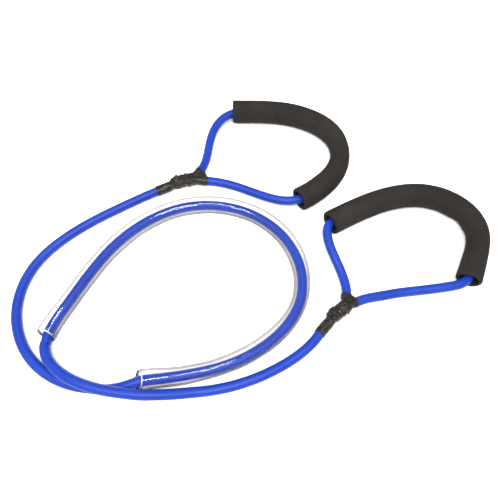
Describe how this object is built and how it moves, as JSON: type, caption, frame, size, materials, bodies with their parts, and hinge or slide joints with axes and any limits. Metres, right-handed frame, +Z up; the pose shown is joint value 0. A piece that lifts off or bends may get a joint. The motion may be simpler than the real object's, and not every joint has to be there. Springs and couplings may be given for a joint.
{
  "type": "tube resistance band",
  "caption": "Stretch tube with a tied loop at each end, a foam-covered grip on each loop and a loose clear guard sleeve on the run between them.",
  "frame": {"origin": "on the surface the band lies on, under the middle of the box around its handles and guard sleeve", "axes": "+Z up from the surface the band lies on, +X across the laid-out band from the outer run towards handle B, +Y towards handle A"},
  "size_m": [0.4673, 0.3419, 0.0252],
  "materials": {
    "stretch_tube": "satin",
    "foam": "matte",
    "tape": "satin",
    "lashing": "matte",
    "clear_sleeve": "gloss"
  },
  "bodies": {
    "band": {"tube_main_run": "stretch_tube"},
    "swing_stretch_a": {"tube_swing_a": "stretch_tube"},
    "handle_a": {"tube_lift_a": "stretch_tube", "handle_loop_a": "stretch_tube", "lashing_a": "lashing", "tape_a": "tape"},
    "grip_a": {"foam_grip_a": "foam"},
    "swing_stretch_b": {"tube_swing_b": "stretch_tube"},
    "handle_b": {"tube_lift_b": "stretch_tube", "handle_loop_b": "stretch_tube", "lashing_b": "lashing", "tape_b": "tape"},
    "grip_b": {"foam_grip_b": "foam"},
    "sleeve": {"clear_sleeve": "clear_sleeve"}
  },
  "joints": [
    {"name": "swing_a", "type": "hinge", "parent": "band", "child": "swing_stretch_a", "pos_m": [-0.21343, -0.01852, 0.00475], "axis": [0, 0, 1], "range_deg": [0, 15], "deforming": ["tube_swing_a"]},
    {"name": "lift_a", "type": "hinge", "parent": "swing_stretch_a", "child": "handle_a", "pos_m": [-0.18594, 0.00468, 0.00475], "axis": [0.5438, -0.8392, 0], "range_deg": [0, 50], "deforming": ["tube_lift_a"]},
    {"name": "grip_a_shift", "type": "hinge", "parent": "handle_a", "child": "grip_a", "pos_m": [-0.01866, 0.08809, 0.0126], "axis": [0, 0, 1], "range_deg": [-2.5, 2.5]},
    {"name": "swing_b", "type": "hinge", "parent": "band", "child": "swing_stretch_b", "pos_m": [-0.04352, -0.16025, 0.00475], "axis": [0, 0, 1], "range_deg": [-15, 0], "deforming": ["tube_swing_b"]},
    {"name": "lift_b", "type": "hinge", "parent": "swing_stretch_b", "child": "handle_b", "pos_m": [-0.00985, -0.14767, 0.00475], "axis": [0.6158, -0.7879, 0], "range_deg": [0, 50], "deforming": ["tube_lift_b"]},
    {"name": "grip_b_shift", "type": "hinge", "parent": "handle_b", "child": "grip_b", "pos_m": [0.13, -0.015, 0.0126], "axis": [0, 0, 1], "range_deg": [-2, 2]},
    {"name": "sleeve_shift", "type": "hinge", "parent": "band", "child": "sleeve", "pos_m": [-0.08694, -0.0909, 0.009], "axis": [0, 0, 1], "range_deg": [-1, 1]}
  ]
}
